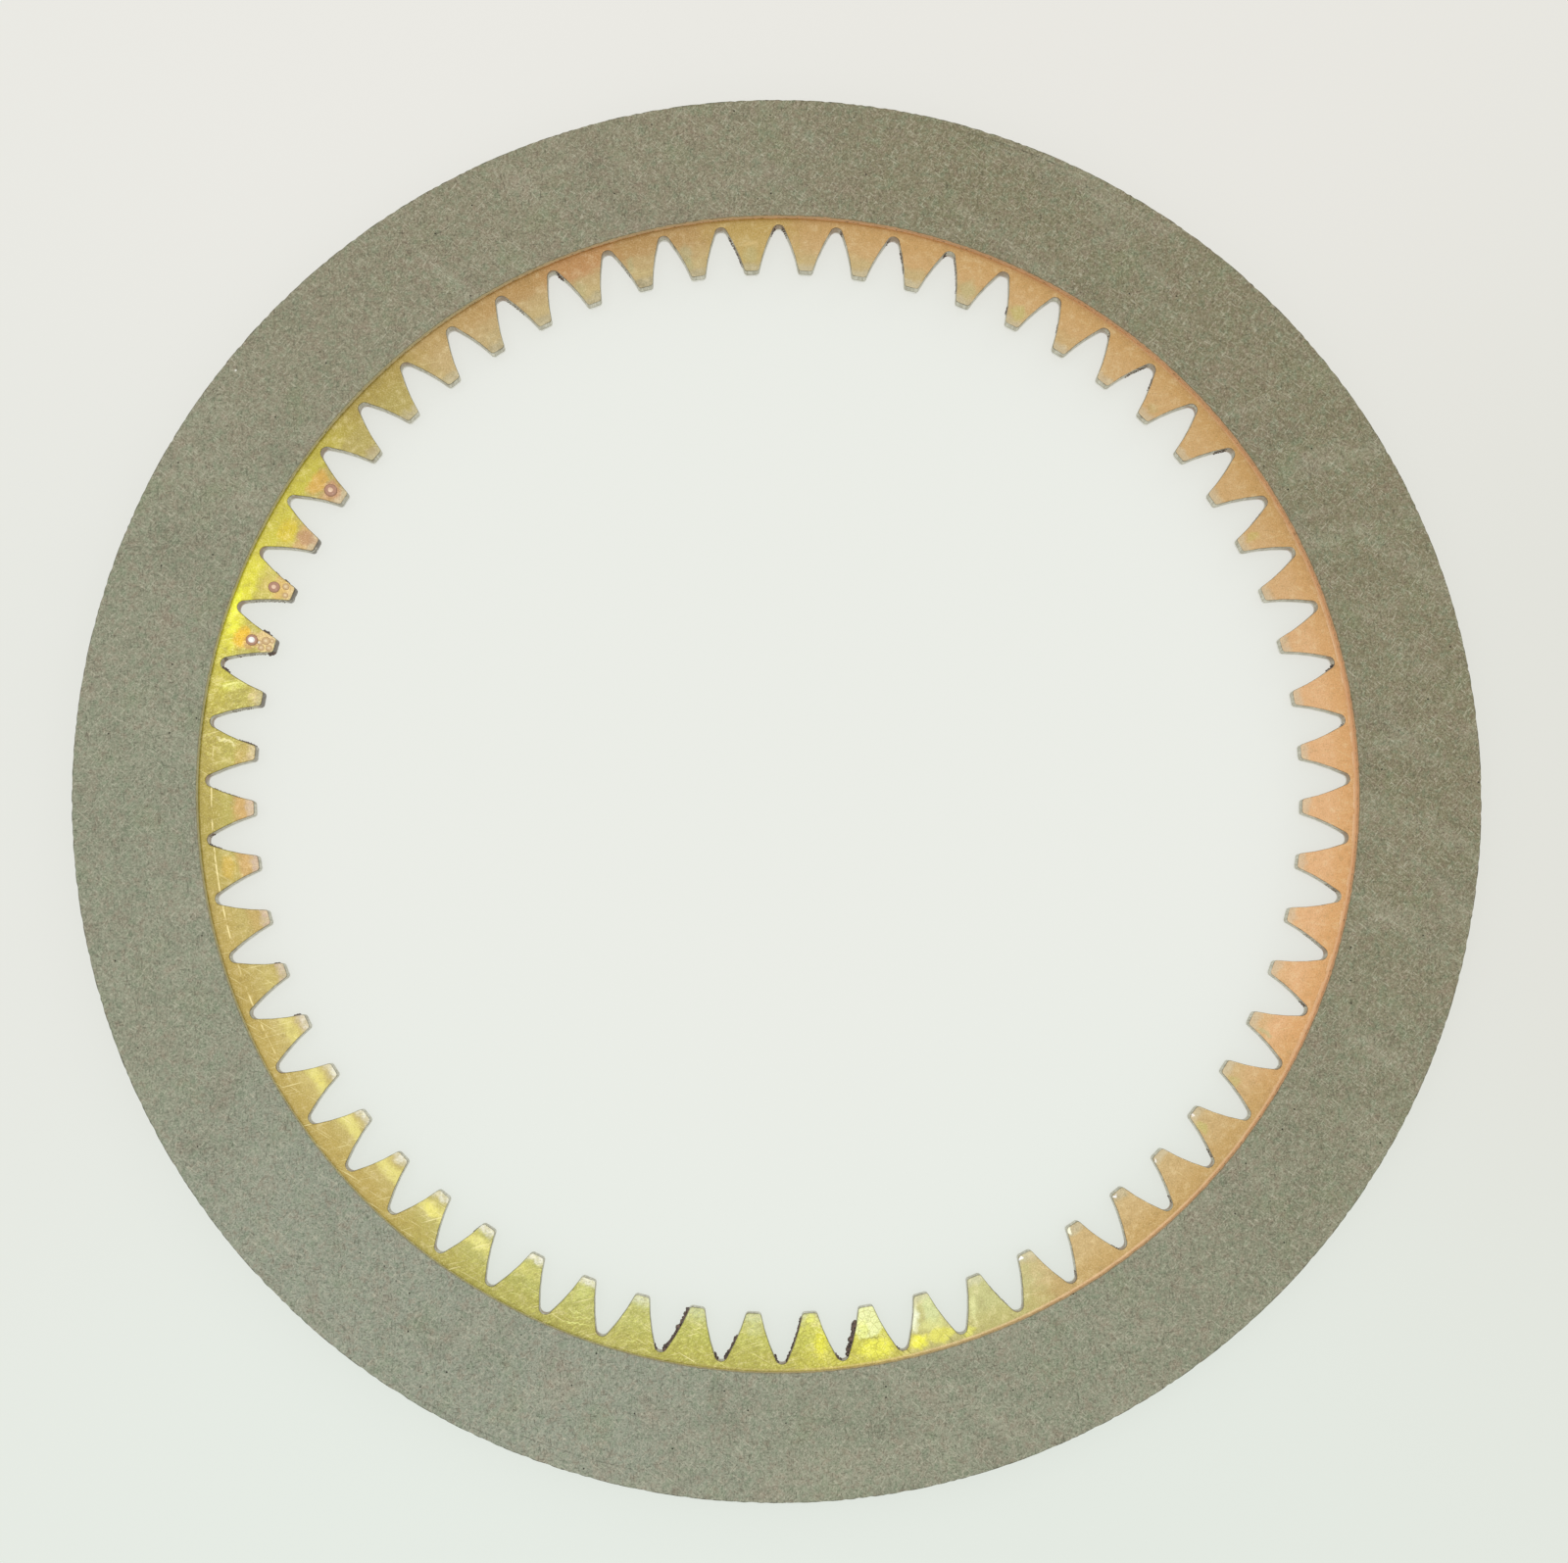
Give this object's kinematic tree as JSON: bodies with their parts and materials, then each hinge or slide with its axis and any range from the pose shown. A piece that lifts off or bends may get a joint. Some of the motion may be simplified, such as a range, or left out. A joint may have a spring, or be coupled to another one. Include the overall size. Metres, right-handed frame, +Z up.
{
  "type": "clutch disc",
  "caption": "Flat wet clutch disc: a steel core ring with internal involute teeth and a plain friction-paper ring bonded to each face.",
  "frame": {"origin": "on the disc's axis, in the plane of the lower friction face", "axes": "+Z up along the disc's axis; a tooth space is centred on +X, and the disc is the same either way up"},
  "size_m": [0.1956, 0.1956, 0.0044],
  "materials": {
    "coated_steel": "satin",
    "friction_paper": "matte"
  },
  "bodies": {
    "root": {"core_plate": "coated_steel", "lower_facing": "friction_paper", "upper_facing": "friction_paper"}
  },
  "joints": []
}
